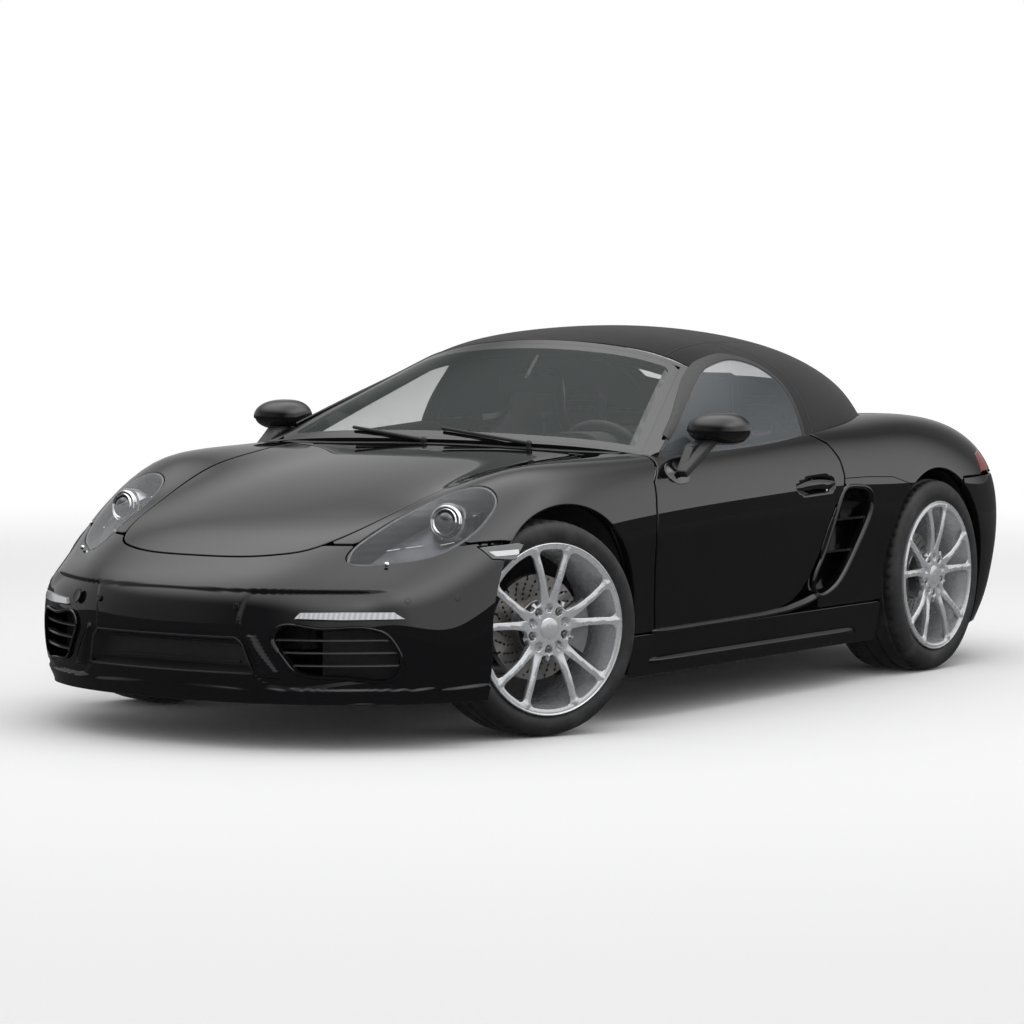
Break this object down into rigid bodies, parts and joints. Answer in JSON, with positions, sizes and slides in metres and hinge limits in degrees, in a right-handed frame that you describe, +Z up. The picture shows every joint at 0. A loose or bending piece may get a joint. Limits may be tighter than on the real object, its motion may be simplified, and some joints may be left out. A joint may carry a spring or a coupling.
{
  "type": "convertible car",
  "caption": "Two-seat convertible car with a closed fabric roof: rolling and steered wheels, opening doors and lids, hollow cabin with seats, glazed windows",
  "frame": {"origin": "centre of the length and width, on the floor", "axes": "+X to the nose, +Y to the left side, +Z up"},
  "size_m": [4.3762, 1.994, 1.247],
  "materials": {
    "paint": "gloss clear coat",
    "fabric_black": "woven cloth",
    "glass_tint": "tinted clear",
    "lamp_glass": "clear",
    "lamp_red": "clear red",
    "dark_plastic": "matt",
    "leather_black": "soft grain",
    "cast_metal": "cast",
    "steel": "brushed",
    "tyre": "rubber",
    "alloy": "silver lacquer",
    "disc_steel": "machined"
  },
  "bodies": {
    "body": {"floor_pan": "dark_plastic", "sill_left": "paint", "sill_right": "paint", "front_tub": "dark_plastic", "rear_tub": "dark_plastic", "fender_left": "paint", "fender_right": "paint", "front_bumper": "paint", "front_grilles": "dark_plastic", "radiators": "cast_metal", "running_lamps": "lamp_glass", "side_markers": "lamp_glass", "headlamps": "dark_plastic", "headlamp_lenses": "lamp_glass", "cowl": "dark_plastic", "windscreen": "glass_tint", "windscreen_frame": "paint", "soft_top": "fabric_black", "rear_window": "glass_tint", "quarter_left": "paint", "quarter_right": "paint", "side_intakes": "dark_plastic", "rear_deck": "paint", "rear_bumper": "paint", "tail_lamps": "lamp_red", "cabin_rear_wall": "dark_plastic", "engine": "cast_metal", "exhaust": "steel", "front_suspension": "cast_metal", "rear_suspension": "cast_metal", "dashboard": "dark_plastic", "console": "dark_plastic", "seat_left": "leather_black", "seat_right": "leather_black", "wipers": "dark_plastic"},
    "door_left": {"door_left": "paint", "door_glass_left": "glass_tint", "mirror_left": "paint"},
    "door_right": {"door_right": "paint", "door_glass_right": "glass_tint", "mirror_right": "paint"},
    "front_lid": {"front_lid": "paint"},
    "rear_lid": {"rear_lid": "paint"},
    "steering_wheel": {"steering_wheel": "dark_plastic"},
    "knuckle_left": {"knuckle_left": "cast_metal"},
    "knuckle_right": {"knuckle_right": "cast_metal"},
    "wheel_front_left": {"tyre_front_left": "tyre", "rim_front_left": "alloy", "disc_front_left": "disc_steel"},
    "wheel_front_right": {"tyre_front_right": "tyre", "rim_front_right": "alloy", "disc_front_right": "disc_steel"},
    "wheel_rear_left": {"tyre_rear_left": "tyre", "rim_rear_left": "alloy", "disc_rear_left": "disc_steel"},
    "wheel_rear_right": {"tyre_rear_right": "tyre", "rim_rear_right": "alloy", "disc_rear_right": "disc_steel"}
  },
  "joints": [
    {"name": "door_left_hinge", "type": "hinge", "parent": "body", "child": "door_left", "pos_m": [0.6, 0.848, 0.55], "axis": [0, 0, -1], "range_deg": [0, 65]},
    {"name": "door_right_hinge", "type": "hinge", "parent": "body", "child": "door_right", "pos_m": [0.6, -0.848, 0.55], "axis": [0, 0, 1], "range_deg": [0, 65]},
    {"name": "front_lid_hinge", "type": "hinge", "parent": "body", "child": "front_lid", "pos_m": [0.735, 0, 0.816], "axis": [0, -1, 0], "range_deg": [0, 60]},
    {"name": "rear_lid_hinge", "type": "hinge", "parent": "body", "child": "rear_lid", "pos_m": [-1.612, 0, 0.868], "axis": [0, 1, 0], "range_deg": [0, 60]},
    {"name": "steer_left", "type": "hinge", "parent": "body", "child": "knuckle_left", "pos_m": [1.252, 0.69, 0.336], "axis": [0, 0, 1], "range_deg": [-13, 57]},
    {"name": "steer_right", "type": "hinge", "parent": "body", "child": "knuckle_right", "pos_m": [1.252, -0.69, 0.336], "axis": [0, 0, 1], "range_deg": [-13, 57]},
    {"name": "steering_wheel_turn", "type": "hinge", "parent": "body", "child": "steering_wheel", "pos_m": [0.205, 0.37, 0.765], "axis": [-0.9135, 0, 0.4067], "range_deg": [-200, 860]},
    {"name": "spin_front_left", "type": "hinge", "parent": "knuckle_left", "child": "wheel_front_left", "pos_m": [1.2771, 0.75212, 0.336], "axis": [0.3746, 0.9272, 0], "continuous": true},
    {"name": "spin_front_right", "type": "hinge", "parent": "knuckle_right", "child": "wheel_front_right", "pos_m": [1.2269, -0.75212, 0.336], "axis": [0.3746, 0.9272, 0], "continuous": true},
    {"name": "spin_rear_left", "type": "hinge", "parent": "body", "child": "wheel_rear_left", "pos_m": [-1.223, 0.766, 0.347], "axis": [0, 1, 0], "continuous": true},
    {"name": "spin_rear_right", "type": "hinge", "parent": "body", "child": "wheel_rear_right", "pos_m": [-1.223, -0.766, 0.347], "axis": [0, 1, 0], "continuous": true}
  ],
  "couplings": [
    {"joint": "steer_right", "follows": "steer_left", "ratio": 1},
    {"joint": "steering_wheel_turn", "follows": "steer_left", "ratio": 15}
  ]
}
